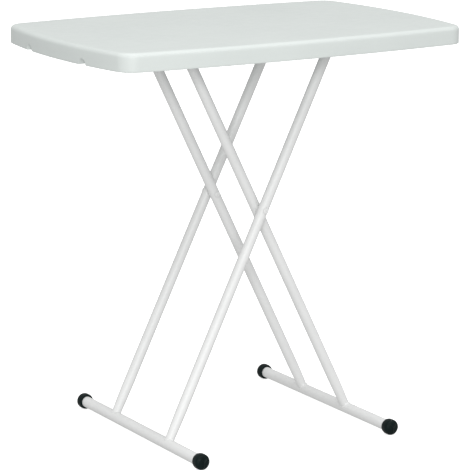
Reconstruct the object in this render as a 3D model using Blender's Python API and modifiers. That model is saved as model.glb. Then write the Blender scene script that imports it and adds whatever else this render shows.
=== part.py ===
"""Personal folding table: a blow-moulded top on two crossed tube frames that fold flat under it.

Metres, +Z up.  The origin is on the floor under the middle of the top.  +X runs along the top and
+Y is the rear.  The inner frame stands at +X and hangs from a bar at -X, the outer frame is its
mirror image, and the two are riveted where they cross.
"""

import math

import bmesh
import bpy
from mathutils import Matrix, Vector

# Top
TOP_LENGTH = 0.760
TOP_WIDTH = 0.500
TOP_HEIGHT = 0.770
RIM_DEPTH = 0.034
RIM_WIDTH = 0.0105
PANEL_THICKNESS = 0.012
SKIN = 0.0022
LONG_SIDE_BOW = 0.0207
SHORT_SIDE_BOW = 0.0272
CORNER_RADIUS = 0.0357
TOP_EDGE_RADIUS = 0.0086
BOTTOM_EDGE_RADIUS = 0.0012
NOTCH_RADIUS = 0.011
NOTCH_BOSS = (0.0055, 0.029, 0.014)  # how much thicker the wall is there, its width and height
BLOW_HOLE = (0.0, 0.185)
BLOW_HOLE_RADIUS = 0.004

# Crossed frames
FOOT_X = 0.2073
LEG_X_AT_RIM = 0.1483
LEG_RADIUS = 0.010
INNER_SPREAD = (0.0763, 0.0741)
OUTER_SPREAD = (0.1036, 0.0998)
LEG_TOP_OVERHANG = 0.005
LEG_END_RADIUS = 0.0082
LEG_TAPER_LENGTH = 0.080
TAPER_STEPS = 6
SADDLE_START = 0.002
PLUG_DEPTH = 0.007
TUBE_WALL = 0.0012
FOOT_TUBE_RADIUS = 0.01065
CAP_RADIUS = 0.015
CAP_BACK = 0.2170
CAP_LENGTH = 0.0215
CAP_SOCKET = 0.0125
CAP_BAND = (0.0045, 0.0115)  # the straight part of the side, from the back face
CAP_CROWN = 0.0095
WELD_GAP = 0.0004

# Bars, rails and runners under the top
BAR_RADIUS = 0.005
JOURNAL_RADIUS = 0.004
RAIL_LIP_Y = 0.1215
RAIL_LENGTH = 0.7216
RAIL_WALL = 0.0013
RAIL_LIP = 0.0026
RAIL_FLANGE = 0.016
FLANGE_SETBACK = 0.020
CHANNEL_DEPTH = 0.0126
CHANNEL_HEIGHT = 0.0146
SEAT_RADIUS = 0.0045
SEAT_PITCH = 0.034
SEATS = 5
RUNNER = (0.0140, 0.0120, 0.0140)
RUNNER_BEVEL = 0.0006
SCREW_X = (0.090, 0.300)
SCREW_RADIUS = 0.002
SCREW_HOLE_RADIUS = 0.0023
SCREW_LENGTH = 0.0088
SCREW_HEAD_RADIUS = 0.004
SCREW_HEAD_HEIGHT = 0.0027

# Rivets
RIVET_RADIUS = 0.004
RIVET_HEAD_RADIUS = 0.0058
RIVET_HEAD_HEIGHT = 0.0026
SPACER_RADIUS = 0.0062

GAP = 0.0003
CUT_PAST = 0.01
NOTCH_CUT_LENGTH = 0.06
FRAME_CUT_LENGTH = 0.3
SIDES = (("front", -1), ("rear", 1))

# Worked out from the sizes above
RIM_BOTTOM = TOP_HEIGHT - RIM_DEPTH
UNDERSIDE = TOP_HEIGHT - PANEL_THICKNESS
BAR_Z = UNDERSIDE - GAP - RAIL_WALL - CHANNEL_HEIGHT / 2
FOOT_AXIS_Z = CAP_RADIUS
BAR_OFFSET = BAR_RADIUS + LEG_RADIUS + WELD_GAP
LEG_UP = Vector((-(FOOT_X + LEG_X_AT_RIM), 0, RIM_BOTTOM - FOOT_AXIS_Z)).normalized()
LEG_SIDE = Vector((LEG_UP.z, 0, -LEG_UP.x))
FOOT = Vector((FOOT_X, 0, FOOT_AXIS_Z))
WELD_POINT = FOOT + LEG_UP * ((BAR_Z - LEG_SIDE.z * BAR_OFFSET - FOOT_AXIS_Z) / LEG_UP.z)
BAR = WELD_POINT + LEG_SIDE * BAR_OFFSET
LEG_LENGTH = (WELD_POINT - FOOT).length + LEG_TOP_OVERHANG
PIVOT = FOOT + LEG_UP * (FOOT_X / -LEG_UP.x)

COLLECTION = bpy.data.collections.new("folding_tray_table")
CUTTERS = bpy.data.collections.new("cutters")


def clear_scene():
    for obj in list(bpy.data.objects):
        bpy.data.objects.remove(obj, do_unlink=True)
    bpy.context.scene.collection.children.link(COLLECTION)
    bpy.context.scene.collection.children.link(CUTTERS)


def material(name, colour, roughness, metallic):
    made = bpy.data.materials.new(name)
    made.use_nodes = True
    shader = made.node_tree.nodes["Principled BSDF"]
    shader.inputs["Base Color"].default_value = (*colour, 1)
    shader.inputs["Roughness"].default_value = roughness
    shader.inputs["Metallic"].default_value = metallic
    return made


def make_materials():
    return {
        "resin": material("top_resin", (0.70, 0.73, 0.71), 0.45, 0.0),
        "paint": material("frame_paint", (0.80, 0.81, 0.80), 0.35, 0.1),
        "rubber": material("cap_rubber", (0.018, 0.024, 0.024), 0.55, 0.0),
        "nylon": material("runner_nylon", (0.05, 0.05, 0.055), 0.5, 0.0),
        "rail": material("rail_aluminium", (0.62, 0.63, 0.65), 0.35, 1.0),
        "zinc": material("screw_zinc", (0.70, 0.70, 0.70), 0.3, 1.0),
    }


# ---- shared shape helpers ----


def finish(mesh, name, finish_material, smooth=True):
    """Object in the part's collection; round pieces are smooth with sharp edges at 35 degrees."""
    mesh.name = name
    mesh.materials.clear()
    mesh.materials.append(finish_material)
    if smooth:
        mesh.shade_smooth()
        mesh.set_sharp_from_angle(angle=math.radians(35))
    obj = bpy.data.objects.new(name, mesh)
    COLLECTION.objects.link(obj)
    return obj


def as_cutter(mesh, name):
    mesh.name = name
    obj = bpy.data.objects.new(name, mesh)
    CUTTERS.objects.link(obj)
    obj.hide_render = True
    obj.display_type = "WIRE"
    return obj


def cut(obj, cutter, operation="DIFFERENCE"):
    modifier = obj.modifiers.new(f"{operation.lower()}_{cutter.name}", "BOOLEAN")
    modifier.operation = operation
    modifier.solver = "EXACT"
    modifier.object = cutter


def point_z_along(direction):
    return Vector(direction).to_track_quat("Z", "Y").to_matrix().to_4x4()


def cylinder_mesh(radius, length, segments=24, direction=(0, 0, 1), middle=(0, 0, 0), caps=True):
    """Cylinder about its middle; without caps it is an open sleeve for Solidify."""
    bm = bmesh.new()
    bmesh.ops.create_cone(
        bm, cap_ends=caps, segments=segments, radius1=radius, radius2=radius, depth=length,
        matrix=Matrix.Translation(middle) @ point_z_along(direction),
    )
    mesh = bpy.data.meshes.new("cylinder")
    bm.to_mesh(mesh)
    bm.free()
    return mesh


def block_mesh(size, bevel=0.0):
    bm = bmesh.new()
    bmesh.ops.create_cube(bm, size=1, matrix=Matrix.Diagonal((*size, 1)))
    if bevel:
        bmesh.ops.bevel(bm, geom=bm.edges[:], offset=bevel, segments=1, affect="EDGES")
    mesh = bpy.data.meshes.new("block")
    bm.to_mesh(mesh)
    bm.free()
    return mesh


def turned(name, profile, finish_material, segments=24):
    """Solid of revolution about local Z: profile is (radius, z), top to bottom down the outer side."""
    mesh = bpy.data.meshes.new(name)
    bm = bmesh.new()
    corners = [bm.verts.new((radius, 0, z)) for radius, z in profile]
    for first, second in zip(corners, corners[1:]):
        bm.edges.new((first, second))
    if profile[0][0] > 0 and profile[-1][0] > 0:
        bm.edges.new((corners[-1], corners[0]))
    bm.to_mesh(mesh)
    bm.free()
    obj = finish(mesh, name, finish_material, smooth=False)
    screw = obj.modifiers.new("turn", "SCREW")
    screw.axis = "Z"
    screw.steps = screw.render_steps = segments
    screw.use_merge_vertices = True
    screw.merge_threshold = 0.00001
    screw.use_smooth_shade = True
    return obj


def flat_shape(name, outline, z_low, z_high):
    """Solid between two heights with a closed outline of (x, y) points."""
    curve = bpy.data.curves.new(name, "CURVE")
    curve.dimensions = "2D"
    curve.fill_mode = "BOTH"
    curve.extrude = (z_high - z_low) / 2
    spline = curve.splines.new("POLY")
    spline.points.add(len(outline) - 1)
    for point, (x, y) in zip(spline.points, outline):
        point.co = (x, y, 0, 1)
    spline.use_cyclic_u = True
    return mesh_from_curve(curve, Matrix.Translation((0, 0, (z_low + z_high) / 2)))


def mesh_from_curve(curve, placement):
    obj = bpy.data.objects.new("outline", curve)
    CUTTERS.objects.link(obj)
    bpy.context.view_layer.update()
    evaluated = obj.evaluated_get(bpy.context.evaluated_depsgraph_get())
    mesh = bpy.data.meshes.new_from_object(evaluated)
    bpy.data.objects.remove(obj, do_unlink=True)
    bm = bmesh.new()
    bm.from_mesh(mesh)
    bmesh.ops.remove_doubles(bm, verts=bm.verts, dist=0.00001)
    for level in {round(vert.co.z, 5) for vert in bm.verts}:
        cap = [face for face in bm.faces if all(abs(vert.co.z - level) < 0.0001 for vert in face.verts)]
        bmesh.ops.dissolve_faces(bm, faces=cap)
    bmesh.ops.transform(bm, matrix=placement, verts=bm.verts)
    bmesh.ops.recalc_face_normals(bm, faces=bm.faces)
    bm.to_mesh(mesh)
    bm.free()
    return mesh


def round_edges(mesh, z, radius, segments):
    """Rounds the edges of the outline that lies at height z."""
    bm = bmesh.new()
    bm.from_mesh(mesh)
    edges = [
        edge for edge in bm.edges
        if all(abs(vert.co.z - z) < 0.0001 for vert in edge.verts)
    ]
    bmesh.ops.bevel(bm, geom=edges, offset=radius, segments=segments, profile=0.5, affect="EDGES")
    bm.to_mesh(mesh)
    bm.free()


# ---- table top ----


def arc(centre, radius, start, end, steps):
    """Points from start towards end, without the end, so that arcs chain into one outline."""
    angles = [start + (end - start) * step / steps for step in range(steps)]
    return [(centre[0] + radius * math.cos(a), centre[1] + radius * math.sin(a)) for a in angles]


def top_outline(inset):
    """Four bowed sides joined by corner arcs, each tangent to its neighbours, moved in by inset."""
    long_radius = (TOP_LENGTH / 2) ** 2 / (2 * LONG_SIDE_BOW) - inset
    short_radius = (TOP_WIDTH / 2) ** 2 / (2 * SHORT_SIDE_BOW) - inset
    corner_radius = CORNER_RADIUS - inset
    long_centre = Vector((0, TOP_WIDTH / 2 - inset - long_radius))
    short_centre = Vector((TOP_LENGTH / 2 - inset - short_radius, 0))
    to_long = long_centre - short_centre
    reach_short = short_radius - corner_radius
    reach_long = long_radius - corner_radius
    along = (reach_short**2 - reach_long**2 + to_long.length_squared) / (2 * to_long.length)
    across = math.sqrt(reach_short**2 - along**2)
    unit = to_long.normalized()
    corner = short_centre + unit * along - Vector((-unit.y, unit.x)) * across
    if corner.x < 0:
        corner = short_centre + unit * along + Vector((-unit.y, unit.x)) * across
    short_end = math.atan2(corner.y - short_centre.y, corner.x - short_centre.x)
    long_end = math.atan2(corner.y - long_centre.y, corner.x - long_centre.x)
    quarter = arc(short_centre, short_radius, 0, short_end, 6)
    quarter += arc(corner, corner_radius, short_end, long_end, 6)
    quarter += arc(long_centre, long_radius, long_end, math.pi / 2, 8)
    left = [(-x, y) for x, y in reversed(quarter[1:])]
    upper = quarter + [(0, TOP_WIDTH / 2 - inset)] + left + [(-TOP_LENGTH / 2 + inset, 0)]
    return upper + [(x, -y) for x, y in reversed(upper[1:-1])]


def leg_y_when_folded(spread, travel):
    """Y of a leg where it passes the rim, folded flat: spread is (at foot, at bar)."""
    share = travel / LEG_LENGTH
    return spread[1] + (spread[0] - spread[1]) * share


def notch_places():
    """(end, y) of the four notches in the short rims: outer legs leave at -X, inner legs at +X."""
    travel = TOP_LENGTH - 2 * RIM_WIDTH
    return [
        (end, sign * leg_y_when_folded(spread, travel))
        for end, spread in ((-1, OUTER_SPREAD), (1, INNER_SPREAD))
        for sign in (-1, 1)
    ]


def rim_notches(radius, name):
    """Cutters for half-round notches in the rim's lower edge."""
    return [
        as_cutter(
            cylinder_mesh(radius, NOTCH_CUT_LENGTH, 24, (1, 0, 0), (end * TOP_LENGTH / 2, y, RIM_BOTTOM)),
            f"{name}_{number}",
        )
        for number, (end, y) in enumerate(notch_places())
    ]


def notch_bosses():
    """Blocks that thicken the rim's inner wall round each notch."""
    depth, width, height = NOTCH_BOSS
    bosses = []
    for number, (end, y) in enumerate(notch_places()):
        short_radius = (TOP_WIDTH / 2) ** 2 / (2 * SHORT_SIDE_BOW)
        wall_x = TOP_LENGTH / 2 - y**2 / (2 * short_radius) - RIM_WIDTH
        mesh = block_mesh((2 * depth, width, height + 2 * CUT_PAST))
        middle_z = RIM_BOTTOM + height / 2 - CUT_PAST
        mesh.transform(Matrix.Translation((end * wall_x, y, middle_z)))
        bosses.append(as_cutter(mesh, f"boss_{number}"))
    return bosses


def make_top(materials):
    mesh = flat_shape("table_top", top_outline(0), RIM_BOTTOM, TOP_HEIGHT)
    round_edges(mesh, TOP_HEIGHT, TOP_EDGE_RADIUS, 5)
    round_edges(mesh, RIM_BOTTOM, BOTTOM_EDGE_RADIUS, 1)
    top = finish(mesh, "table_top", materials["resin"])

    recess_mesh = flat_shape("recess", top_outline(RIM_WIDTH), RIM_BOTTOM - CUT_PAST, UNDERSIDE)
    recess = as_cutter(recess_mesh, "recess")
    for boss in notch_bosses():
        cut(recess, boss)
    cut(top, recess)
    for notch in rim_notches(NOTCH_RADIUS, "notch"):
        cut(top, notch)

    core_mesh = flat_shape("core", top_outline(SKIN), RIM_BOTTOM + SKIN, TOP_HEIGHT - SKIN)
    round_edges(core_mesh, TOP_HEIGHT - SKIN, TOP_EDGE_RADIUS - SKIN, 3)
    core = as_cutter(core_mesh, "core")
    wall = flat_shape("wall", top_outline(RIM_WIDTH - SKIN), RIM_BOTTOM - CUT_PAST, UNDERSIDE + SKIN)
    cut(core, as_cutter(wall, "wall"))
    for notch in rim_notches(NOTCH_RADIUS + SKIN, "notch_skin"):
        cut(core, notch)
    cut(top, core)

    blow_hole = cylinder_mesh(
        BLOW_HOLE_RADIUS + GAP, 2.6 * SKIN, 16, (0, 0, 1), (*BLOW_HOLE, UNDERSIDE + SKIN / 2)
    )
    cut(top, as_cutter(blow_hole, "blow_hole"))
    for number, (x, y) in enumerate(screw_places()):
        hole = cylinder_mesh(SCREW_HOLE_RADIUS, 2.6 * SKIN, 12, (0, 0, 1), (x, y, UNDERSIDE + SKIN / 2))
        cut(top, as_cutter(hole, f"screw_hole_{number}"))

    plug = turned(
        "blow_hole_plug",
        [(0, 0.005), (0.0034, 0.005), (BLOW_HOLE_RADIUS, 0.0035), (BLOW_HOLE_RADIUS, 0),
         (0.008, 0), (0.008, -0.0008), (0.0068, -0.0018), (0, -0.0018)],
        materials["resin"], 16,
    )
    plug.location = (*BLOW_HOLE, UNDERSIDE - GAP)


# ---- rails, screws and runners ----


def screw_places():
    y = RAIL_LIP_Y + 2 * RAIL_WALL + CHANNEL_DEPTH + RAIL_FLANGE * 0.55
    return [(x * end, y * sign) for _, sign in SIDES for end in (-1, 1) for x in SCREW_X]


def rail_section():
    """Lipped channel that opens towards the middle, with a screw flange along its outer top edge."""
    low = BAR_Z - CHANNEL_HEIGHT / 2
    high = BAR_Z + CHANNEL_HEIGHT / 2
    inside = RAIL_LIP_Y + RAIL_WALL
    outside = inside + CHANNEL_DEPTH
    return [
        (RAIL_LIP_Y, low - RAIL_WALL),
        (outside + RAIL_WALL, low - RAIL_WALL),
        (outside + RAIL_WALL, high),
        (outside + RAIL_WALL + RAIL_FLANGE, high),
        (outside + RAIL_WALL + RAIL_FLANGE, high + RAIL_WALL),
        (RAIL_LIP_Y, high + RAIL_WALL),
        (RAIL_LIP_Y, high - RAIL_LIP),
        (inside, high - RAIL_LIP),
        (inside, high),
        (outside, high),
        (outside, low),
        (inside, low),
        (inside, low + RAIL_LIP),
        (RAIL_LIP_Y, low + RAIL_LIP),
    ]


def make_rails(materials):
    """A rail on each side, with a round seat in its lower flange for each height."""
    upright = Matrix(((0, 0, 1, 0), (1, 0, 0, 0), (0, 1, 0, 0), (0, 0, 0, 1)))
    for side, sign in SIDES:
        mesh = flat_shape("rail", rail_section(), -RAIL_LENGTH / 2, RAIL_LENGTH / 2)
        mesh.transform(upright)
        if sign < 0:
            mesh.transform(Matrix.Diagonal((1, -1, 1, 1)))
            mesh.flip_normals()
        rail = finish(mesh, f"rail_{side}", materials["rail"], smooth=False)
        low = BAR_Z - CHANNEL_HEIGHT / 2 - RAIL_WALL / 2
        for end in (-1, 1):
            for seat in range(SEATS):
                x = end * (-BAR.x + seat * SEAT_PITCH)
                hole = cylinder_mesh(
                    SEAT_RADIUS, RAIL_WALL * 2, 12, (0, 0, 1),
                    (x, sign * (RAIL_LIP_Y + RAIL_WALL + CHANNEL_DEPTH / 2), low),
                )
                cut(rail, as_cutter(hole, f"seat_{side}_{end + 1}{seat}"))
            corner = block_mesh((2 * FLANGE_SETBACK, 2 * RAIL_FLANGE, 0.01))
            edge = RAIL_LIP_Y + 2 * RAIL_WALL + CHANNEL_DEPTH + RAIL_FLANGE + GAP
            corner.transform(Matrix.Translation((end * RAIL_LENGTH / 2, sign * edge, UNDERSIDE)))
            cut(rail, as_cutter(corner, f"corner_{side}_{end + 1}"))
        for number, (x, y) in enumerate(screw_places()):
            if y * sign > 0:
                hole = cylinder_mesh(SCREW_HOLE_RADIUS, 0.006, 12, (0, 0, 1), (x, y, UNDERSIDE))
                cut(rail, as_cutter(hole, f"rail_hole_{number}"))


def make_screws(materials):
    """Pan-head screws that hold the rail flanges up against the panel."""
    seat = UNDERSIDE - 2 * GAP - RAIL_WALL
    for number, (x, y) in enumerate(screw_places(), 1):
        screw = turned(
            f"rail_screw_{number}",
            [(0, SCREW_LENGTH), (SCREW_RADIUS * 0.5, SCREW_LENGTH), (SCREW_RADIUS, SCREW_LENGTH - 0.002),
             (SCREW_RADIUS, 0), (SCREW_HEAD_RADIUS, 0), (SCREW_HEAD_RADIUS, -0.0012),
             (SCREW_HEAD_RADIUS * 0.75, 0.0004 - SCREW_HEAD_HEIGHT), (0, -SCREW_HEAD_HEIGHT)],
            materials["zinc"], 12,
        )
        screw.location = (x, y, seat)


def make_runners(materials, name, x):
    """Nylon blocks that carry a bar's journals along the rails."""
    made = []
    for side, sign in SIDES:
        mesh = block_mesh(RUNNER, RUNNER_BEVEL)
        runner = finish(mesh, f"{name}_{side}", materials["nylon"], smooth=False)
        y = RAIL_LIP_Y + RAIL_WALL + CHANNEL_DEPTH / 2
        runner.location = (x, sign * y, BAR_Z)
        bore = cylinder_mesh(JOURNAL_RADIUS + GAP, 0.03, 24, (0, 1, 0), (x, sign * y, BAR_Z))
        cut(runner, as_cutter(bore, f"{name}_bore_{side}"))
        made.append(runner)
    return made


# ---- crossed frames ----


def leg_mesh(length):
    """Open sleeve along local Z from the foot end, where it is swaged down to a smaller radius."""
    bm = bmesh.new()
    bmesh.ops.create_cone(
        bm, cap_ends=False, segments=24, radius1=LEG_RADIUS, radius2=LEG_RADIUS, depth=length,
        matrix=Matrix.Translation((0, 0, length / 2)),
    )
    for step in range(1, TAPER_STEPS + 1):
        everything = bm.verts[:] + bm.edges[:] + bm.faces[:]
        height = LEG_TAPER_LENGTH * step / TAPER_STEPS
        bmesh.ops.bisect_plane(bm, geom=everything, plane_co=(0, 0, height), plane_no=(0, 0, 1))
    for vert in bm.verts:
        share = max(0.0, 1 - vert.co.z / LEG_TAPER_LENGTH)
        scale = 1 + (LEG_END_RADIUS / LEG_RADIUS - 1) * share**2
        vert.co.x *= scale
        vert.co.y *= scale
    mesh = bpy.data.meshes.new("leg")
    bm.to_mesh(mesh)
    bm.free()
    return mesh


def make_leg(name, end, sign, spread, foot_cutter, rivet_cutter, materials):
    """Leg from the foot tube up past its bar; end is +1 where the frame stands at +X."""
    foot = Vector((FOOT.x * end, sign * spread[0], FOOT.z))
    top = FOOT + LEG_UP * LEG_LENGTH
    top = Vector((top.x * end, sign * spread[1], top.z))
    axis = (top - foot).normalized()
    start = foot + axis * SADDLE_START
    leg = finish(leg_mesh((top - start).length), name, materials["paint"])
    across = Vector((0, 1, 0))
    side = across.cross(axis).normalized()
    turn = Matrix((side, axis.cross(side), axis)).transposed().to_4x4()
    leg.matrix_world = Matrix.Translation(start) @ turn
    wall = leg.modifiers.new("wall", "SOLIDIFY")
    wall.thickness = TUBE_WALL
    wall.offset = -1
    cut(leg, foot_cutter)
    cut(leg, rivet_cutter)

    rim = LEG_RADIUS - 0.0002
    stem = LEG_RADIUS - TUBE_WALL - GAP
    plug = turned(
        name.replace("leg", "leg_plug"),
        [(0, 0.002), (rim - 0.0013, 0.002), (rim, 0.0008), (rim, 0), (stem, 0),
         (stem, 0.001 - PLUG_DEPTH), (stem - 0.0012, -PLUG_DEPTH), (0, -PLUG_DEPTH)],
        materials["nylon"], 20,
    )
    plug.matrix_world = Matrix.Translation(top + axis * GAP) @ turn
    return [leg, plug]


def make_foot(name, end, materials):
    """Foot tube along Y with a rubber cap on each end."""
    middle = (FOOT.x * end, 0, FOOT.z)
    length = 2 * (CAP_BACK + CAP_SOCKET - GAP)
    sleeve = cylinder_mesh(FOOT_TUBE_RADIUS, length, caps=False)
    tube = finish(sleeve, f"{name}_foot_tube", materials["paint"])
    tube.matrix_world = Matrix.Translation(middle) @ point_z_along((0, 1, 0))
    wall = tube.modifiers.new("wall", "SOLIDIFY")
    wall.thickness = TUBE_WALL
    wall.offset = -1
    made = [tube]
    for side, sign in SIDES:
        cap = turned(f"{name}_foot_cap_{side}", cap_profile(), materials["rubber"], 28)
        place = (middle[0], sign * CAP_BACK, middle[2])
        cap.matrix_world = Matrix.Translation(place) @ point_z_along((0, sign, 0))
        made.append(cap)
    return made


def cap_profile():
    """Ball-like cap from its crown back to its socket: (radius, distance from the back face)."""
    socket = FOOT_TUBE_RADIUS + GAP
    crown = [
        (CAP_RADIUS * math.sin(math.radians(angle)) ** 0.8,
         CAP_LENGTH - CAP_CROWN * (1 - math.cos(math.radians(angle))))
        for angle in (15, 30, 45, 60, 75)
    ]
    return [
        (0, CAP_LENGTH),
        *crown,
        (CAP_RADIUS, CAP_BAND[1]),
        (CAP_RADIUS, CAP_BAND[0]),
        (CAP_RADIUS - 0.0008, 0.0018),
        (CAP_RADIUS - 0.0024, 0),
        (socket, 0),
        (socket, CAP_SOCKET),
        (0, CAP_SOCKET),
    ]


def make_bar(name, end, materials):
    """Solid cross bar with a turned-down journal at each end."""
    reach = RAIL_LIP_Y + RAIL_WALL + GAP
    tip = reach + CHANNEL_DEPTH - 0.001
    profile = [(0, tip), (JOURNAL_RADIUS - 0.0006, tip), (JOURNAL_RADIUS, tip - 0.0006),
               (JOURNAL_RADIUS, reach - 0.0025), (BAR_RADIUS, reach - 0.0025)]
    profile += [(radius, -y) for radius, y in reversed(profile)]
    bar = turned(f"{name}_top_bar", profile, materials["paint"], 20)
    bar.matrix_world = Matrix.Translation((BAR.x * end, 0, BAR.z)) @ point_z_along((0, 1, 0))
    return bar


def make_frame(name, end, spread, materials):
    foot_place = (FOOT.x * end, 0, FOOT.z)
    saddle = cylinder_mesh(FOOT_TUBE_RADIUS + GAP, FRAME_CUT_LENGTH, 32, (0, 1, 0), foot_place)
    foot_cutter = as_cutter(saddle, f"{name}_foot_cut")
    rivet_bore = cylinder_mesh(RIVET_RADIUS + GAP, FRAME_CUT_LENGTH, 16, (0, 1, 0), PIVOT)
    rivet_cutter = as_cutter(rivet_bore, f"{name}_rivet_cut")
    made = make_foot(name, end, materials) + [make_bar(name, end, materials)]
    for side, sign in SIDES:
        leg_name = f"{name}_leg_{side}"
        made += make_leg(leg_name, end, sign, spread, foot_cutter, rivet_cutter, materials)
    return made


def spread_at_pivot(spread):
    share = (PIVOT - FOOT).length / LEG_LENGTH
    return spread[0] + (spread[1] - spread[0]) * share


def make_rivets(materials):
    """Rivet through an outer and an inner leg on each side, with a spacer washer between the legs."""
    inner, outer = spread_at_pivot(INNER_SPREAD), spread_at_pivot(OUTER_SPREAD)
    half_grip = (outer - inner) / 2 + LEG_RADIUS + GAP
    middle = (inner + outer) / 2
    angles = [math.radians(angle) for angle in (0, 25, 50, 72, 90)]
    profile = [
        (RIVET_HEAD_RADIUS * math.sin(angle), half_grip + RIVET_HEAD_HEIGHT * math.cos(angle))
        for angle in angles
    ]
    profile.append((RIVET_RADIUS, half_grip))
    profile += [(radius, -y) for radius, y in reversed(profile)]
    bore = RIVET_RADIUS + GAP
    half_thick = (outer - inner) / 2 - LEG_RADIUS - GAP
    washer = [
        (SPACER_RADIUS, half_thick), (SPACER_RADIUS, -half_thick),
        (bore, -half_thick), (bore, half_thick),
    ]
    made = []
    for side, sign in SIDES:
        place = Matrix.Translation((0, sign * middle, PIVOT.z)) @ point_z_along((0, 1, 0))
        rivet = turned(f"pivot_rivet_{side}", profile, materials["paint"], 20)
        spacer = turned(f"pivot_spacer_{side}", washer, materials["paint"], 24)
        rivet.matrix_world = place
        spacer.matrix_world = place
        made += [rivet, spacer]
    return made


def hang_from(name, place, objects):
    """Parents a moving body's objects to an empty on its joint's axis, without moving them."""
    axis = bpy.data.objects.new(name, None)
    axis.location = place
    COLLECTION.objects.link(axis)
    bpy.context.view_layer.update()
    for obj in objects:
        obj.parent = axis
        obj.matrix_parent_inverse = axis.matrix_world.inverted()
    return axis


def make_table():
    materials = make_materials()
    make_top(materials)
    make_rails(materials)
    make_screws(materials)
    inner_blocks = make_runners(materials, "inner_runner", BAR.x)
    outer_blocks = make_runners(materials, "outer_runner", -BAR.x)
    inner_frame = make_frame("inner", 1, INNER_SPREAD, materials) + make_rivets(materials)
    outer_frame = make_frame("outer", -1, OUTER_SPREAD, materials)
    slide_axis = hang_from("inner_slide_axis", BAR, inner_blocks)
    fold_axis = hang_from("fold_axis", BAR, inner_frame)
    pivot_axis = hang_from("pivot_axis", PIVOT, outer_frame)
    swivel_axis = hang_from("outer_swivel_axis", (-BAR.x, 0, BAR.z), outer_blocks)
    for child, parent in ((fold_axis, slide_axis), (pivot_axis, fold_axis), (swivel_axis, pivot_axis)):
        child.parent = parent
        child.matrix_parent_inverse = parent.matrix_world.inverted()


clear_scene()
make_table()
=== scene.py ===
# Folding tray table: finished surfaces, materials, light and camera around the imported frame.
import math

import bmesh
import bpy
from mathutils import Matrix, Vector


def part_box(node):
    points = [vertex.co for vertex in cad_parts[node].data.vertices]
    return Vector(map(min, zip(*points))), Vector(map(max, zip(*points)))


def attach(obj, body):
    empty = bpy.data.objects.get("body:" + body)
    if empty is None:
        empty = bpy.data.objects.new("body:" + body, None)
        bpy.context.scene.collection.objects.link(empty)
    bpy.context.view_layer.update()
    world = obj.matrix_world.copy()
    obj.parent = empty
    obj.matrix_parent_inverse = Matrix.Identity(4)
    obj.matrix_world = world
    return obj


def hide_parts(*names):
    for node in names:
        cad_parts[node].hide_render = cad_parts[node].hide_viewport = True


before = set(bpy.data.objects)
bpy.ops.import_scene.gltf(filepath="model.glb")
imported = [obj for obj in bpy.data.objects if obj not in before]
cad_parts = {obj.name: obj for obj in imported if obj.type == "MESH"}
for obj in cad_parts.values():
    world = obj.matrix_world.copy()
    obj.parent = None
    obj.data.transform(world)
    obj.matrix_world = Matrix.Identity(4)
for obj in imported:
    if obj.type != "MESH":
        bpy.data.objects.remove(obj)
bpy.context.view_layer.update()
sides = ("front", "rear")
print("frame loaded:", len(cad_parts), "nodes")


# Places read from the frame

def middleOf(node):
    low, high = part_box(node)
    return (low + high) / 2


def halfOf(node):
    low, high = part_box(node)
    return (high - low) / 2


# Mesh helpers

def makePiece(name, mesh, body, material, replaced=(), sharpAngle=38):
    mesh.name = name
    mesh.materials.clear()
    mesh.materials.append(material)
    mesh.shade_smooth()
    mesh.set_sharp_from_angle(angle=math.radians(sharpAngle))
    piece = bpy.data.objects.new(name, mesh)
    bpy.context.scene.collection.objects.link(piece)
    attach(piece, body)
    if replaced:
        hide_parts(*replaced)
    return piece


def meshFrom(bm):
    bmesh.ops.recalc_face_normals(bm, faces=bm.faces)
    mesh = bpy.data.meshes.new("mesh")
    bm.to_mesh(mesh)
    bm.free()
    return mesh


def addLoft(bm, rings, closed=False):
    # rings of equal length; a closed loft joins its last ring to its first, an open one gets end caps
    grid = [[bm.verts.new(point) for point in ring] for ring in rings]
    pairs = list(zip(grid, grid[1:])) + ([(grid[-1], grid[0])] if closed else [])
    for one, two in pairs:
        for i in range(len(one)):
            j = (i + 1) % len(one)
            bm.faces.new((one[i], one[j], two[j], two[i]))
    if not closed:
        bm.faces.new(grid[0])
        bm.faces.new(grid[-1])
    return grid


def addLathe(bm, profile, steps, place):
    # profile is (radius, along Z); a radius of 0 closes on the axis
    rings = []
    for radius, along in profile:
        if radius == 0:
            rings.append([bm.verts.new(place @ Vector((0, 0, along)))])
            continue
        turn = [2 * math.pi * i / steps for i in range(steps)]
        points = [Vector((radius * math.cos(a), radius * math.sin(a), along)) for a in turn]
        rings.append([bm.verts.new(place @ point) for point in points])
    for one, two in zip(rings, rings[1:]):
        for i in range(steps):
            j = (i + 1) % steps
            corners = [one[i % len(one)], one[j % len(one)], two[j % len(two)], two[i % len(two)]]
            corners = list(dict.fromkeys(corners))  # a corner on the axis comes twice
            if len(corners) > 2:
                bm.faces.new(corners)


def latheMesh(profile, steps, place):
    bm = bmesh.new()
    addLathe(bm, profile, steps, place)
    return meshFrom(bm)


def alongY(point, sign=1):
    turn = Vector((0, sign, 0)).to_track_quat("Z", "Y").to_matrix().to_4x4()
    return Matrix.Translation(point) @ turn


def roundedCorner(centre, radius, start, end, steps):
    # points of an arc in a (radius, along) profile, both ends included
    turns = [math.radians(start + (end - start) * i / steps) for i in range(steps + 1)]
    return [(centre[0] + radius * math.cos(a), centre[1] + radius * math.sin(a)) for a in turns]


# Materials

def newMaterial(name, colour, roughness, metallic=0.0):
    made = bpy.data.materials.new(name)
    made.use_nodes = True
    shader = made.node_tree.nodes["Principled BSDF"]
    shader.inputs["Base Color"].default_value = (*colour, 1)
    shader.inputs["Roughness"].default_value = roughness
    shader.inputs["Metallic"].default_value = metallic
    return made, shader


def addNode(material, kind, **values):
    node = material.node_tree.nodes.new(kind)
    for name, value in values.items():
        if name in node.inputs:
            node.inputs[name].default_value = value
        else:
            setattr(node, name, value)
    return node


def link(material, source, target):
    material.node_tree.links.new(source, target)


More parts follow.
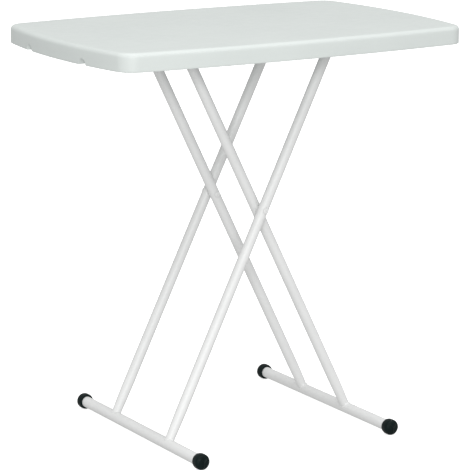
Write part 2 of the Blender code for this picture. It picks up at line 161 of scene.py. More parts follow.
def objectSpace(material, stretch=(1, 1, 1)):
    coordinates = addNode(material, "ShaderNodeTexCoord")
    mapping = addNode(material, "ShaderNodeMapping")
    mapping.inputs["Scale"].default_value = stretch
    link(material, coordinates.outputs["Object"], mapping.inputs["Vector"])
    return mapping.outputs["Vector"]


def noiseAt(material, space, scale, detail=3.0, roughness=0.5):
    node = addNode(material, "ShaderNodeTexNoise", Scale=scale, Detail=detail, Roughness=roughness)
    link(material, space, node.inputs["Vector"])
    return node.outputs["Fac"]


def spread(material, source, low, high, fromLow=0.3, fromHigh=0.7):
    node = addNode(material, "ShaderNodeMapRange")
    node.inputs["From Min"].default_value = fromLow
    node.inputs["From Max"].default_value = fromHigh
    node.inputs["To Min"].default_value = low
    node.inputs["To Max"].default_value = high
    link(material, source, node.inputs["Value"])
    return node.outputs["Result"]


def twoColours(material, source, first, second, shader):
    mix = addNode(material, "ShaderNodeMix", data_type="RGBA")
    mix.inputs[6].default_value = (*first, 1)
    mix.inputs[7].default_value = (*second, 1)
    link(material, source, mix.inputs[0])
    link(material, mix.outputs[2], shader.inputs["Base Color"])


def addBump(material, shader, layers):
    # layers are (height source, strength, distance in metres), coarse first
    last = None
    for height, strength, distance in layers:
        bump = addNode(material, "ShaderNodeBump", Strength=strength, Distance=distance)
        link(material, height, bump.inputs["Height"])
        if last:
            link(material, last, bump.inputs["Normal"])
        last = bump.outputs["Normal"]
    link(material, last, shader.inputs["Normal"])


resinLook = {
    "light": (0.585, 0.622, 0.605),
    "shade": (0.565, 0.602, 0.586),
    "roughness": (0.40, 0.50),
    "shine": 0.34,
    "cloudScale": 9,
    "waveScale": 14,  # the slow unevenness of a blown skin
    "waveDepth": 0.0006,
    "grainScale": 1500,
    "grainDepth": 0.00006,
}


def makeResin():
    made, shader = newMaterial("blowMouldedResin", resinLook["light"], 0.45)
    space = objectSpace(made)
    cloud = noiseAt(made, space, resinLook["cloudScale"], 4, 0.55)
    twoColours(made, spread(made, cloud, 0, 1), resinLook["light"], resinLook["shade"], shader)
    rough = spread(made, noiseAt(made, space, 60, 4), *resinLook["roughness"])
    link(made, rough, shader.inputs["Roughness"])
    grainCells = resinLook["grainScale"] * 0.55
    grain = addNode(made, "ShaderNodeTexVoronoi", Scale=grainCells, feature="SMOOTH_F1")
    link(made, space, grain.inputs["Vector"])
    fine = noiseAt(made, space, resinLook["grainScale"], 2)
    waves = noiseAt(made, space, resinLook["waveScale"], 2)
    addBump(made, shader, [
        (waves, 0.25, resinLook["waveDepth"]),
        (grain.outputs["Distance"], 0.35, resinLook["grainDepth"]),
        (fine, 0.30, resinLook["grainDepth"] * 0.5),
    ])
    shader.inputs["Specular IOR Level"].default_value = resinLook["shine"]
    return made


paintLook = {
    "light": (0.70, 0.705, 0.70),
    "shade": (0.68, 0.685, 0.68),
    "roughness": (0.46, 0.58),
    "peelScale": 420,
    "peelDepth": 0.00008,
    "coat": 0.12,
    "coatRoughness": 0.40,
}


def makePaint():
    made, shader = newMaterial("offWhitePowderCoat", paintLook["light"], 0.35)
    space = objectSpace(made)
    cloud = spread(made, noiseAt(made, space, 30, 4), 0, 1)
    twoColours(made, cloud, paintLook["light"], paintLook["shade"], shader)
    rough = spread(made, noiseAt(made, space, 180, 3), *paintLook["roughness"])
    link(made, rough, shader.inputs["Roughness"])
    peel = noiseAt(made, space, paintLook["peelScale"], 2)
    speck = noiseAt(made, space, paintLook["peelScale"] * 5, 1)
    depth = paintLook["peelDepth"]
    addBump(made, shader, [(peel, 0.35, depth), (speck, 0.2, depth * 0.3)])
    shader.inputs["Coat Weight"].default_value = paintLook["coat"]
    shader.inputs["Coat Roughness"].default_value = paintLook["coatRoughness"]
    return made


rubberLook = {
    "light": (0.0042, 0.0110, 0.0105),
    "shade": (0.0020, 0.0060, 0.0058),
    "roughness": (0.34, 0.54),
    "shine": 0.11,
    "grainDepth": 0.00008,
}


def makeRubber():
    made, shader = newMaterial("blackRubber", rubberLook["light"], 0.5)
    space = objectSpace(made)
    cloud = spread(made, noiseAt(made, space, 70, 5), 0, 1)
    twoColours(made, cloud, rubberLook["light"], rubberLook["shade"], shader)
    rough = spread(made, noiseAt(made, space, 260, 4), *rubberLook["roughness"])
    link(made, rough, shader.inputs["Roughness"])
    addBump(made, shader, [(noiseAt(made, space, 900, 3), 0.4, rubberLook["grainDepth"])])
    shader.inputs["Specular IOR Level"].default_value = rubberLook["shine"]
    return made


nylonLook = {
    "plain": (0.05, 0.05, 0.055),  # stands in where light and shade can't be mixed
    "light": (0.050, 0.052, 0.056),
    "shade": (0.032, 0.034, 0.037),
    "roughness": (0.38, 0.55),
    "grainDepth": 0.00005,
}


def makeNylon():
    made, shader = newMaterial("blackNylon", nylonLook["plain"], 0.45)
    space = objectSpace(made)
    cloud = spread(made, noiseAt(made, space, 120, 4), 0, 1)
    twoColours(made, cloud, nylonLook["light"], nylonLook["shade"], shader)
    rough = spread(made, noiseAt(made, space, 300, 3), *nylonLook["roughness"])
    link(made, rough, shader.inputs["Roughness"])
    addBump(made, shader, [(noiseAt(made, space, 1400, 2), 0.25, nylonLook["grainDepth"])])
    return made


aluminiumLook = {
    "plain": (0.72, 0.73, 0.74),
    "light": (0.76, 0.77, 0.78),
    "shade": (0.62, 0.63, 0.65),
    "roughness": (0.28, 0.46),
    "drawLines": (4, 900, 900),  # long along the rail, fine across it
    "lineDepth": 0.00004,
}


def makeAluminium():
    made, shader = newMaterial("extrudedAluminium", aluminiumLook["plain"], 0.35, 1.0)
    lines = objectSpace(made, aluminiumLook["drawLines"])
    space = objectSpace(made)
    drawn = noiseAt(made, lines, 1, 3)
    streaks = spread(made, drawn, 0, 1)
    twoColours(made, streaks, aluminiumLook["light"], aluminiumLook["shade"], shader)
    rough = spread(made, noiseAt(made, space, 90, 4), *aluminiumLook["roughness"])
    link(made, rough, shader.inputs["Roughness"])
    addBump(made, shader, [(drawn, 0.3, aluminiumLook["lineDepth"])])
    return made


zincLook = {
    "plain": (0.70, 0.70, 0.69),
    "light": (0.72, 0.72, 0.70),
    "shade": (0.58, 0.58, 0.57),
    "roughness": (0.22, 0.42),
    "grainDepth": 0.00003,
}


def makeZinc():
    made, shader = newMaterial("brightZinc", zincLook["plain"], 0.3, 1.0)
    space = objectSpace(made)
    cloud = spread(made, noiseAt(made, space, 400, 3), 0, 1)
    twoColours(made, cloud, zincLook["light"], zincLook["shade"], shader)
    rough = spread(made, noiseAt(made, space, 700, 3), *zincLook["roughness"])
    link(made, rough, shader.inputs["Roughness"])
    addBump(made, shader, [(noiseAt(made, space, 1600, 2), 0.2, zincLook["grainDepth"])])
    return made


resin, paint, rubber = makeResin(), makePaint(), makeRubber()
nylon, aluminium, zinc = makeNylon(), makeAluminium(), makeZinc()
print("materials made")


# Table top: bowed sides, rolled edges, leg notches and a dimpled underside

topDesign = {
    "longBow": 0.0207,  # how far the middle of a side stands out past its ends
    "shortBow": 0.0272,
    "cornerRadius": 0.0357,
    "edgeRadius": 0.0086,
    "lipRadius": 0.0016,
    "rimWidth": 0.0105,
    "panel": 0.012,
    "recessFillet": 0.003,
    "notchRadius": 0.011,
    "notchReach": 0.017,  # height over which the rim's rows bend up round a notch
    "bossDepth": 0.0055,  # saddle that thickens the wall behind a notch
    "bossHalfWidth": 0.0145,
    "bossHeight": 0.014,
    "bossFillet": 0.0015,
    "cornerSteps": 18,
    "longSteps": 18,
    "cellPitch": 0.036,
    "cells": (18, 11),
    "dimpleRadius": 0.0072,
    "dimpleDepth": 0.0062,
    "dimpleProfile": (  # (radius, rise) from its mouth inwards, as shares of the two above
        (1.16, 0), (1.06, 0.03), (0.98, 0.12), (0.86, 0.38), (0.72, 0.72), (0.62, 0.92), (0.50, 1.0),
    ),
}
topLow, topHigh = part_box("table_top")
topMiddle = (topLow + topHigh) / 2
halfLength, halfWidth = (topHigh.x - topLow.x) / 2, (topHigh.y - topLow.y) / 2
underside = topHigh.z - topDesign["panel"]


def legRadiusOf(frameName):
    # the plug in the leg's end is a hair thinner than the leg
    return halfOf(f"{frameName}_leg_plug_rear").y + 0.0002


def notchPlaces():
    # Y of the leg notches at each end: the outer legs leave at -X and the inner legs at +X
    found = {}
    for end, name in ((-1, "outer"), (1, "inner")):
        found[end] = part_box(f"{name}_leg_rear")[1].y - legRadiusOf(name)
    return found


notches = notchPlaces()


def outlineArcs():
    # a quarter of the outline: bowed short side, corner and bowed long side, each tangent to the next
    longRadius = halfLength**2 / (2 * topDesign["longBow"])
    shortRadius = halfWidth**2 / (2 * topDesign["shortBow"])
    corner = topDesign["cornerRadius"]
    longCentre = Vector((0, halfWidth - longRadius))
    shortCentre = Vector((halfLength - shortRadius, 0))
    apart = longCentre - shortCentre
    nearShort, nearLong = shortRadius - corner, longRadius - corner
    along = (nearShort**2 - nearLong**2 + apart.length_squared) / (2 * apart.length)
    across = math.sqrt(nearShort**2 - along**2)
    unit = apart.normalized()
    choices = [shortCentre + unit * along + Vector((-unit.y, unit.x)) * across * s for s in (-1, 1)]
    cornerCentre = max(choices, key=lambda point: point.x + point.y)
    shortEnd = math.atan2(cornerCentre.y - shortCentre.y, cornerCentre.x - shortCentre.x)
    longEnd = math.atan2(cornerCentre.y - longCentre.y, cornerCentre.x - longCentre.x)
    return {
        "short": (shortCentre, shortRadius),
        "corner": (cornerCentre, corner),
        "long": (longCentre, longRadius),
        "shortEnd": shortEnd,
        "longEnd": longEnd,
    }


arcs = outlineArcs()


def shortSideHeights(end):
    # Y values up the half of a short side, dense across its notch
    middle, radius = notches[end], topDesign["notchRadius"]
    last = arcs["short"][1] * math.sin(arcs["shortEnd"])
    across = [middle - radius * math.cos(math.pi * i / 16) for i in range(17)]
    lips = [middle + side * (radius + past) for side in (-1, 1) for past in (0.0004, 0.0012)]
    half, fillet = topDesign["bossHalfWidth"], topDesign["bossFillet"]
    lips += [middle + side * (half + fillet * k / 3) for side in (-1, 1) for k in range(-3, 1)]
    plain = [last * i / 14 for i in range(14)]
    plain = [y for y in plain if abs(y - middle) > half + 0.002]
    return sorted(plain + across + lips)


def quarterSamples(end):
    # each sample is (which arc, angle on it, Y on a short side or None)
    samples = [("short", math.asin(y / arcs["short"][1]), y) for y in shortSideHeights(end)]
    shortEnd, longEnd = arcs["shortEnd"], arcs["longEnd"]
    steps = topDesign["cornerSteps"]
    for i in range(steps):
        samples.append(("corner", shortEnd + (longEnd - shortEnd) * i / steps, None))
    steps = topDesign["longSteps"]
    for i in range(steps + 1):
        samples.append(("long", longEnd + (math.pi / 2 - longEnd) * i / steps, None))
    return samples


def topSamples():
    # the whole outline, anticlockwise from the middle of the +X side, as (sign X, sign Y, sample)
    right, left = quarterSamples(1), quarterSamples(-1)
    loop = [(1, 1, s) for s in right]
    loop += [(-1, 1, s) for s in reversed(left[:-1])]
    loop += [(-1, -1, s) for s in left[1:]]
    loop += [(1, -1, s) for s in reversed(right[1:-1])]
    return loop


def notchRise(sample, end):
    # how far the rim's lower edge is lifted at a sample; the lift eases in just beside the notch
    y, easeRise, easeShare = sample[2], 0.0006, 0.1
    if y is None:
        return 0.0
    away = abs(y - notches[end]) / topDesign["notchRadius"]
    if away <= 1:
        return easeRise + topDesign["notchRadius"] * math.sqrt(1 - away**2)
    return max(0.0, easeRise * (1 - (away - 1) / easeShare))


def bossShare(sample, end, z):
    # 1 on the thick saddle behind a notch, 0 away from it, with rounded edges between
    if sample[2] is None:
        return 0.0
    fillet = topDesign["bossFillet"]
    beside = (topDesign["bossHalfWidth"] - abs(sample[2] - notches[end])) / fillet
    above = (topLow.z + topDesign["bossHeight"] - z) / fillet
    share = min(1.0, max(0.0, beside)) * min(1.0, max(0.0, above))
    return math.sqrt(1 - (1 - share) ** 2)


def ringAt(inset, z, saddle=0.0):
    # outline moved in by inset; heights near the rim's lower edge are lifted over the notches
    points = []
    for signX, signY, sample in topSamples():
        centre, radius = arcs[sample[0]]
        radius -= saddle * bossShare(sample, signX, z)
        x = centre.x + (radius - inset) * math.cos(sample[1])
        y = centre.y + (radius - inset) * math.sin(sample[1])
        rise, reach = notchRise(sample, signX), topDesign["notchReach"]
        share = max(0.0, 1 - (z - topLow.z) / reach)
        points.append(Vector((topMiddle.x + signX * x, topMiddle.y + signY * y, z + rise * share)))
    return points


def shellRings():
    # from the flat top over the rolled edge, down the rim and up its inner wall to the underside
    edge, lip, width = topDesign["edgeRadius"], topDesign["lipRadius"], topDesign["rimWidth"]
    fillet = topDesign["recessFillet"]
    rings = []
    for i in range(10):
        a = math.pi / 2 * (1 - i / 9)
        rings.append(ringAt(edge * (1 - math.cos(a)), topHigh.z - edge * (1 - math.sin(a))))
    for share in (1.0, 0.8, 0.6, 0.4, 0.2):
        rings.append(ringAt(0, topLow.z + lip + (topDesign["notchReach"] - lip) * share))
    for i in range(5):
        a = math.pi / 2 * i / 4
        rings.append(ringAt(lip * (1 - math.cos(a)), topLow.z + lip * (1 - math.sin(a))))
    depth, bossTop = topDesign["bossDepth"], topLow.z + topDesign["bossHeight"]
    for i in range(5):
        a = math.pi / 2 * (1 - i / 4)
        rings.append(ringAt(width - lip * (1 - math.cos(a)), topLow.z + lip * (1 - math.sin(a)), depth))
    for below in (0.008, 0.004, 0.0015, 0.0010, 0.0005, 0.0):  # closest where the saddle ends
        rings.append(ringAt(width, bossTop - below, depth))
    rings.append(ringAt(width, topLow.z + topDesign["notchReach"]))
    for i in range(5):
        a = math.pi / 2 * i / 4
        rings.append(ringAt(width + fillet * (1 - math.cos(a)), underside - fillet * (1 - math.sin(a))))
    return rings


def cellHasDimple(y):
    # the underside stays flat where the rails lie
    low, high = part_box("rail_rear")
    clear = topDesign["dimpleRadius"] + 0.002
    return not low.y - clear < abs(y) < high.y + clear


def addUnderside(bm):
    # square cells with four points a side; a dimpled cell funnels up to a flat kiss-off
    pitch, (countX, countY) = topDesign["cellPitch"], topDesign["cells"]
    known = {}

    def vertAt(x, y, z=underside):
        key = (round(x, 6), round(y, 6), round(z, 6))
        if key not in known:
            known[key] = bm.verts.new((topMiddle.x + x, topMiddle.y + y, z))
        return known[key]

    for i in range(countX):
        for j in range(countY):
            x0, y0 = (i + 0.5 - countX / 2) * pitch, (j + 0.5 - countY / 2) * pitch
            addCell(bm, vertAt, x0, y0, pitch)
    edgeX, edgeY = countX * pitch / 2, countY * pitch / 2
    return [vert for (x, y, _), vert in known.items()
            if abs(abs(x) - edgeX) < 1e-5 or abs(abs(y) - edgeY) < 1e-5]


def squareLoop(x0, y0, pitch):
    # sixteen points round a cell, in step with the rings of its dimple
    steps = [-0.5, -0.25, 0, 0.25]
    side = [(0.5, s) for s in steps]
    loop = []
    for turn in range(4):
        c, s = round(math.cos(turn * math.pi / 2)), round(math.sin(turn * math.pi / 2))
        loop += [(x0 + pitch * (c * x - s * y), y0 + pitch * (s * x + c * y)) for x, y in side]
    return loop


def addCell(bm, vertAt, x0, y0, pitch):
    border = [vertAt(x, y) for x, y in squareLoop(x0, y0, pitch)]
    if not cellHasDimple(y0):
        bm.faces.new(border)
        return
    last = border
    for share, up in topDesign["dimpleProfile"]:
        radius, z, ring = topDesign["dimpleRadius"] * share, underside + topDesign["dimpleDepth"] * up, []
        for k in range(16):
            a = -math.pi / 4 + math.pi / 8 * k
            ring.append(vertAt(x0 + radius * math.cos(a), y0 + radius * math.sin(a), z))
        for k in range(16):
            n = (k + 1) % 16
            bm.faces.new((last[k], last[n], ring[n], ring[k]))
        last = ring
    bm.faces.new(last)


def makeTop():
    bm = bmesh.new()
    grid = addLoft(bm, shellRings())
    bm.faces.ensure_lookup_table()
    bm.faces.remove(bm.faces[-1])  # the cells close the underside instead
    cells, rim = set(addUnderside(bm)), set(grid[-1])
    bm.edges.index_update()
    fill = [e for e in bm.edges if e.is_boundary and (set(e.verts) <= rim or set(e.verts) <= cells)]
    bmesh.ops.triangle_fill(bm, use_beauty=True, use_dissolve=False, edges=fill, normal=(0, 0, -1))
    return makePiece("topShell", meshFrom(bm), "top", resin, ["table_top"], sharpAngle=50)


makeTop()
print("top made")


# Legs: tubes drawn in towards the foot, saddled on the foot tube, with weld beads

legDesign = {
    "taperLength": 0.080,
    "endRadius": 0.0082,
    "around": 48,
    "endBack": 0.0028,  # the tube stops this far below the rim of its plug
    "beadRadius": 0.0017,
    "beadRipples": 26,
    "barBeadLength": 0.013,
    "barBeadRadius": 0.0021,
    "barBeadAside": 0.0036,
    "barBeadLift": 0.0010,
}


def frameFacts(name):
    # the legs run up beside the bar, so their line is read from the foot tube and the bar
    foot, bar = middleOf(f"{name}_foot_tube"), middleOf(f"{name}_top_bar")
    footRadius, barRadius = halfOf(f"{name}_foot_tube").z, halfOf(f"{name}_top_bar").z
    legRadius = legRadiusOf(name)
    toBar = bar - foot
    end = 1 if foot.x > 0 else -1
    weldGap = 0.0004
    lean = math.asin((barRadius + legRadius + weldGap) / toBar.length)
    turn = math.atan2(toBar.z, toBar.x) + end * lean
    up = Vector((math.cos(turn), 0, math.sin(turn)))
    return {
        "foot": foot, "bar": bar, "up": up, "end": end, "body": f"{name}_frame",
        "footRadius": footRadius, "barRadius": barRadius, "legRadius": legRadius,
    }


def legFacts(name, side):
    # where one leg starts, its direction and its length; the legs close in a little towards the top
    facts = frameFacts(name)
    sign = -1 if side == "front" else 1
    plug = middleOf(f"{name}_leg_plug_{side}")
    low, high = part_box(f"{name}_leg_{side}")
    outermost = max(abs(low.y), abs(high.y)) - facts["legRadius"]
    length = (plug.z - facts["foot"].z) / facts["up"].z
    slope = (outermost - abs(plug.y)) / (length - legDesign["taperLength"])
    footY = sign * (outermost + slope * legDesign["taperLength"])
    start = Vector((facts["foot"].x, footY, facts["foot"].z))
    axis = Vector((facts["up"].x, (plug.y - footY) / length, facts["up"].z)).normalized()
    return facts, start, axis, length - legDesign["endBack"]


def legRadiusAt(facts, s):
    share = max(0.0, 1 - s / legDesign["taperLength"])
    return facts["legRadius"] + (legDesign["endRadius"] - facts["legRadius"]) * share**2


def legPoint(facts, start, axis, a, s, grow=0.0):
    # point on the leg's skin at turn a and distance s from the foot axis
    across = Vector((0, 1, 0)).cross(axis).normalized()
    beside = axis.cross(across).normalized()
    radius = legRadiusAt(facts, s) + grow
    return start + axis * s + across * (radius * math.cos(a)) + beside * (radius * math.sin(a))


def saddleHeight(facts, a):
    # where the leg's skin at turn a comes down on the foot tube
    reach = legRadiusAt(facts, facts["footRadius"]) * math.cos(a)
    return math.sqrt(max(facts["footRadius"] ** 2 - reach**2, 0))


def legMesh(facts, start, axis, length):
    around = [2 * math.pi * i / legDesign["around"] for i in range(legDesign["around"])]
    taperEnd = legDesign["taperLength"] * 1.02
    rings = []
    for i in range(13):
        share = i / 12
        heights = [saddleHeight(facts, a) * (1 - share) + taperEnd * share for a in around]
        rings.append([legPoint(facts, start, axis, a, s) for a, s in zip(around, heights)])
    for share in (0.25, 0.5, 0.75):
        s = taperEnd + (length - taperEnd) * share
        rings.append([legPoint(facts, start, axis, a, s) for a in around])
    for back, grow in ((0.0008, 0), (0.0003, -0.0002), (0, -0.0008)):  # rounded end
        rings.append([legPoint(facts, start, axis, a, length - back, grow) for a in around])
    bm = bmesh.new()
    addLoft(bm, rings)
    return meshFrom(bm)


def beadRing(centre, first, second, radius, points=10):
    turns = [2 * math.pi * i / points for i in range(points)]
    return [centre + first * (radius * math.cos(t)) + second * (radius * math.sin(t)) for t in turns]


def addFootBead(bm, facts, start, axis):
    # bead round the seam of leg and foot tube, with the ripples of its weld
    steps = legDesign["beadRipples"] * 5
    rings = []
    for i in range(steps):
        a = 2 * math.pi * i / steps
        s = saddleHeight(facts, a)
        seam = legPoint(facts, start, axis, a, s)
        outLeg = (legPoint(facts, start, axis, a, s, 0.001) - seam).normalized()
        outFoot = Vector((seam.x - facts["foot"].x, 0, seam.z - facts["foot"].z)).normalized()
        ripple = 1 + 0.09 * math.cos(legDesign["beadRipples"] * a) + 0.05 * math.sin(3 * a + start.y * 90)
        lean = (outLeg + outFoot).normalized()
        side = (outFoot - lean * outFoot.dot(lean)).normalized()
        rings.append(beadRing(seam + lean * 0.0002, lean, side, legDesign["beadRadius"] * ripple))
    addLoft(bm, rings, closed=True)


def addBarBeads(bm, facts, start, axis):
    # two short beads where the bar lies across the leg, following the leg's round skin
    toSide = Vector((facts["up"].z, 0, -facts["up"].x)) * facts["end"]
    at = (facts["bar"].z - start.z - toSide.z * (facts["barRadius"] + facts["legRadius"])) / axis.z
    touch = start + axis * at + toSide * facts["legRadius"]
    for way in (-1, 1):
        rings = []
        for i in range(15):
            share = i / 14 * 2 - 1
            y = share * legDesign["barBeadLength"] / 2
            drop = facts["legRadius"] - math.sqrt(facts["legRadius"] ** 2 - y * y)
            radius = legDesign["barBeadRadius"] * math.sqrt(max(1 - share**2, 0.02))
            radius *= 1 + 0.08 * math.cos(i * 2.2)
            aside = axis * way * legDesign["barBeadAside"]
            centre = touch + aside + Vector((0, y, 0)) + toSide * (legDesign["barBeadLift"] - drop)
            rings.append(beadRing(centre, axis, toSide, radius))
        addLoft(bm, rings)


footDesign = {"wall": 0.0012, "plugBack": 0.004, "around": 56}


def makeFrame(name):
    welds = bmesh.new()
    for side in sides:
        facts, start, axis, length = legFacts(name, side)
        mesh = legMesh(facts, start, axis, length)
        node = f"{name}_leg_{side}"
        makePiece(f"{name}Leg{side.title()}", mesh, facts["body"], paint, [node])
        addFootBead(welds, facts, start, axis)
        addBarBeads(welds, facts, start, axis)
    makePiece(f"{name}Welds", meshFrom(welds), facts["body"], paint, sharpAngle=60)
    low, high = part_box(f"{name}_foot_tube")
    radius, half = facts["footRadius"], (high.y - low.y) / 2
    inside, back = radius - footDesign["wall"], half - footDesign["plugBack"]
    profile = [(0, -back), (inside, -back), (inside, -half), (radius, -half)]
    profile += [(radius, half), (inside, half), (inside, back), (0, back)]
    tube = latheMesh(profile, footDesign["around"], alongY(facts["foot"]))
    makePiece(f"{name}FootTube", tube, facts["body"], paint, [f"{name}_foot_tube"])
    for side in sides:
        makeCap(name, side, facts)


capDesign = {
    "socketDepth": 0.0123,
    "socketGap": 0.0002,
    "lipRound": 0.0016,
    "lipInset": 0.0009,
    "bandStart": 0.0048,  # the side is straight between these, from the back face
    "bandEnd": 0.0108,
    "squareness": 0.8,  # below 1 the crown bulges out more than a ball
    "crown": 0.0095,
    "grooveRadius": 0.0112,
    "grooveDepth": 0.0007,
    "grooveWidth": 0.0007,
    "dishDepth": 0.0013,
    "ribWidth": 0.0010,
    "ribAngles": (50, 130, 270),  # degrees, seen from the front
    "around": 72,
}


def crownSink(x, z):
    # how far the crown is dished between its three ribs, at a point across the cap
    share = 0.0
    for angle in capDesign["ribAngles"]:
        a = math.radians(angle)
        along = x * math.cos(a) + z * math.sin(a)
        across = x * math.sin(a) - z * math.cos(a)
        if along >= 0:
            share = max(share, math.exp(-((across / capDesign["ribWidth"]) ** 2)))
    fade = 1 - min(1.0, math.hypot(x, z) / capDesign["grooveRadius"]) ** 6
    return capDesign["dishDepth"] * (1 - share) * fade


def makeCap(name, side, facts):
    # ball-like rubber cap: rolled lip, and a moulded ring round a dished crown with three ribs
    low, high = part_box(f"{name}_foot_cap_{side}")
    sign = -1 if side == "front" else 1
    radius, length = (high.z - low.z) / 2, high.y - low.y
    back = Vector((facts["foot"].x, low.y if sign > 0 else high.y, facts["foot"].z))
    socket, lip = facts["footRadius"] + capDesign["socketGap"], capDesign["lipRound"]
    depth, chamfer = capDesign["socketDepth"], 0.0006
    profile = [(0, depth), (socket, depth), (socket, chamfer), (socket + chamfer, 0)]
    profile += roundedCorner((radius - capDesign["lipInset"] - lip, lip), lip, -90, -8, 6)
    bandStart, bandEnd = capDesign["bandStart"], capDesign["bandEnd"]
    profile += [(radius - 0.0004, 0.0030), (radius, bandStart), (radius, bandEnd)]
    for angle in range(84, 1, -3):
        a = math.radians(angle)
        out = radius * math.sin(a) ** capDesign["squareness"]
        fromGroove = (out - capDesign["grooveRadius"]) / capDesign["grooveWidth"]
        sink = capDesign["grooveDepth"] * math.exp(-(fromGroove**2))
        profile.append((out, length - capDesign["crown"] * (1 - math.cos(a)) - sink))
    profile.append((0, length))
    mesh = latheMesh(profile, capDesign["around"], alongY(back, sign))
    tip = back.y + sign * length
    for vert in mesh.vertices:
        if abs(vert.co.y - tip) < 0.006:  # only the crown, not the socket
            vert.co.y -= sign * crownSink(vert.co.x - back.x, vert.co.z - back.z)
    node = f"{name}_foot_cap_{side}"
    makePiece(f"{name}Cap{side.title()}", mesh, facts["body"], rubber, [node])


ventDesign = {
    "radius": 0.0021,
    "collar": 0.0007,
    "height": 0.0009,
    "sunk": 0.0006,
    "y": 0.130,
    "tilt": 60,  # degrees up from level, facing the middle of the table
    "around": 24,
}


def makeVentPlug():
    # small domed plug in the breather hole of the inner foot tube
    facts = frameFacts("inner")
    tilt = math.radians(ventDesign["tilt"])
    radius, collar, height = ventDesign["radius"], ventDesign["collar"], ventDesign["height"]
    out = Vector((-math.cos(tilt), 0, math.sin(tilt)))
    seat = facts["footRadius"] - ventDesign["sunk"]
    at = facts["foot"] + out * seat + Vector((0, ventDesign["y"], 0))
    place = Matrix.Translation(at) @ out.to_track_quat("Z", "Y").to_matrix().to_4x4()
    profile = [(0, 0), (radius, 0), (radius, collar)]
    for angle in (20, 40, 60, 75):
        a = math.radians(angle)
        profile.append((radius * math.cos(a), collar + height * math.sin(a)))
    profile.append((0, collar + height))
    mesh = latheMesh(profile, ventDesign["around"], place)
    makePiece("ventPlug", mesh, "inner_frame", paint)


for frameName in ("inner", "outer"):
    makeFrame(frameName)
makeVentPlug()
print("frames made")


# Pivot rivets and rail screws

rivetDesign = {
    "shankRadius": 0.0040,
    "headRadius": 0.0056,
    "headHeight": 0.0026,
    "skirt": 0.0013,
    "hollow": 0.0016,  # radius of the set mark in the head
    "hollowDepth": 0.0008,
    "around": 40,
}


def makeRivet(side):
    low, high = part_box(f"pivot_rivet_{side}")
    half, head = (high.y - low.y) / 2, rivetDesign["headHeight"]
    radius, skirt = rivetDesign["headRadius"], rivetDesign["skirt"]
    grip = half - head
    hollow, bottom = rivetDesign["hollow"], half - rivetDesign["hollowDepth"]
    dome = [(0, bottom), (hollow * 0.7, bottom + 0.0001), (hollow, half - 0.0001)]
    for angle in range(25, 91, 13):
        a = math.radians(angle)
        dome.append((radius * math.sin(a), grip + skirt + (head - skirt) * math.cos(a)))
    dome += [(radius, grip + 0.0001), (rivetDesign["shankRadius"], grip)]
    profile = dome + [(r, -z) for r, z in reversed(dome)]
    node = f"pivot_rivet_{side}"
    mesh = latheMesh(profile, rivetDesign["around"], alongY(middleOf(node)))
    makePiece(f"pivotRivet{side.title()}", mesh, "inner_frame", paint, [node])


screwDesign = {
    "shankRadius": 0.0020,
    "pointRadius": 0.0010,
    "pointLength": 0.002,
    "headRadius": 0.0040,
    "headHeight": 0.0027,
    "headSide": 0.0011,  # straight part of the head's side
    "recess": 0.0013,
    "armWidth": 0.0009,
    "armLength": 0.0046,
    "turnEach": 17,  # degrees, so that no two screws stand alike
    "around": 28,
}


def crossMesh(middle, z, turn):
    bm = bmesh.new()
    size = (screwDesign["armLength"], screwDesign["armWidth"], 2 * screwDesign["recess"])
    place = Matrix.Translation((middle.x, middle.y, z)) @ Matrix.Rotation(math.radians(turn), 4, "Z")
    bmesh.ops.create_cube(bm, size=1, matrix=place @ Matrix.Diagonal((*size, 1)))
    return meshFrom(bm)


def applyModifiers(piece):
    graph = bpy.context.evaluated_depsgraph_get()
    mesh = bpy.data.meshes.new_from_object(piece.evaluated_get(graph))
    piece.modifiers.clear()
    old = piece.data
    piece.data = mesh
    bpy.data.meshes.remove(old)


def makeScrew(number):
    # pan head with a cross recess, its point up in the top
    node = f"rail_screw_{number}"
    low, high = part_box(node)
    middle, length = middleOf(node), high.z - low.z
    shank, point = screwDesign["shankRadius"], screwDesign["pointRadius"]
    headRadius, headHeight = screwDesign["headRadius"], screwDesign["headHeight"]
    shoulder = headHeight - screwDesign["headSide"]
    profile = [(0, length), (point, length), (shank, length - screwDesign["pointLength"])]
    profile += [(shank, headHeight), (headRadius, headHeight), (headRadius, shoulder)]
    for angle in (15, 30, 45, 60, 75):
        a = math.radians(angle)
        profile.append((headRadius * math.cos(a), shoulder * (1 - math.sin(a))))
    profile.append((0, 0))
    place = Matrix.Translation((middle.x, middle.y, low.z))
    mesh = latheMesh(profile, screwDesign["around"], place)
    screw = makePiece(f"railScrew{number}", mesh, "top", zinc, [node])
    for turn in (0, 90):
        arm = crossMesh(middle, low.z, turn + screwDesign["turnEach"] * number)
        cross = bpy.data.objects.new(f"cross{number}_{turn}", arm)
        bpy.context.scene.collection.objects.link(cross)
        cutter = screw.modifiers.new("recess", "BOOLEAN")
        cutter.object = cross
        cutter.solver = "EXACT"
        bpy.context.view_layer.update()
        applyModifiers(screw)
        bpy.data.objects.remove(cross)


for pieceSide in sides:
    makeRivet(pieceSide)
for screwNumber in range(1, 9):
    makeScrew(screwNumber)
print("rivets and screws made")


# CAD pieces that stay get a finish and softened edges

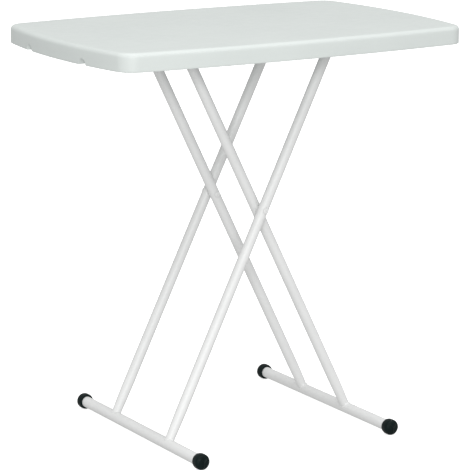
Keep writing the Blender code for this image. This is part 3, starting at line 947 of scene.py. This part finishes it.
carriedOver = {  # part of the node's name: (material, how much its edges are softened)
    "rail_": (aluminium, 0.0003),
    "_runner_": (nylon, 0.0005),
    "_leg_plug_": (nylon, 0.0003),
    "pivot_spacer_": (paint, 0.0004),
    "_top_bar": (paint, 0.0003),
    "blow_hole_plug": (resin, 0.0002),
}
for nodeName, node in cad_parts.items():
    if node.hide_render:
        continue
    finish, edge = next(value for key, value in carriedOver.items() if key in nodeName)
    node.data.materials.clear()
    node.data.materials.append(finish)
    node.data.shade_smooth()
    node.data.set_sharp_from_angle(angle=math.radians(35))
    soften = node.modifiers.new("softEdge", "BEVEL")
    soften.width = edge
    soften.segments = 2
    soften.limit_method = "ANGLE"
    soften.angle_limit = math.radians(40)
    soften.harden_normals = True
print("carried-over pieces finished")


# Floor, light and camera

stageDesign = {"floorSize": 60.0, "floorColour": (0.62, 0.62, 0.62), "floorGlow": 0.75}


def makeFloor():
    bm = bmesh.new()
    bmesh.ops.create_grid(bm, x_segments=8, y_segments=8, size=stageDesign["floorSize"] / 2)
    floor = bpy.data.objects.new("floor", meshFrom(bm))
    bpy.context.scene.collection.objects.link(floor)
    made, shader = newMaterial("paleFloor", stageDesign["floorColour"], 0.9)
    shader.inputs["Emission Color"].default_value = (1, 1, 1, 1)
    shader.inputs["Emission Strength"].default_value = stageDesign["floorGlow"]
    floor.data.materials.append(made)
    floor.visible_diffuse = False  # the object's light comes from the lamps and sky, not off the floor
    floor.visible_glossy = False


lights = {
    "worldStrength": 0.63,
    "skyAngle": 70,  # degrees, how soft the light from above is
    "skyStrength": 1.70,
    "skyFrom": (0.0, -0.35, 1.6),
    "key": {"at": (-2.5, -4.25, 1.6), "size": 1.8, "power": 123},
}


def aimLamp(data, at, target=(0, 0, 0.4)):
    lamp = bpy.data.objects.new(data.name, data)
    bpy.context.scene.collection.objects.link(lamp)
    lamp.location = at
    lamp.rotation_euler = (Vector(target) - lamp.location).to_track_quat("-Z", "Y").to_euler()


def makeLights():
    sky = bpy.data.lights.new("sky", "SUN")
    sky.angle, sky.energy = math.radians(lights["skyAngle"]), lights["skyStrength"]
    aimLamp(sky, lights["skyFrom"], (0, 0, 0))
    key = bpy.data.lights.new("key", "AREA")
    key.size, key.energy = lights["key"]["size"], lights["key"]["power"]
    aimLamp(key, lights["key"]["at"])
    world = bpy.data.worlds.new("studio")
    bpy.context.scene.world = world
    world.use_nodes = True
    background = world.node_tree.nodes["Background"]
    background.inputs["Color"].default_value = (1, 1, 1, 1)
    background.inputs["Strength"].default_value = lights["worldStrength"]


cameraDesign = {
    "azimuth": -31.063,
    "elevation": 12.564,
    "distance": 4.6221,
    "lens": 186.26,
    "aim": (0.0024, 0.0030, 0.3673),
}


def makeCamera():
    a, e = math.radians(cameraDesign["azimuth"]), math.radians(cameraDesign["elevation"])
    back = Vector((math.sin(a) * math.cos(e), -math.cos(a) * math.cos(e), math.sin(e)))
    data = bpy.data.cameras.new("camera")
    data.sensor_width, data.lens = 36, cameraDesign["lens"]
    data.clip_end = 200
    camera = bpy.data.objects.new("camera", data)
    bpy.context.scene.collection.objects.link(camera)
    camera.location = Vector(cameraDesign["aim"]) + back * cameraDesign["distance"]
    camera.rotation_euler = (-back).to_track_quat("-Z", "Y").to_euler()
    bpy.context.scene.camera = camera


makeFloor()
makeLights()
makeCamera()
bpy.context.scene.view_settings.view_transform = "Standard"
print("stage made")

bpy.context.view_layer.update()
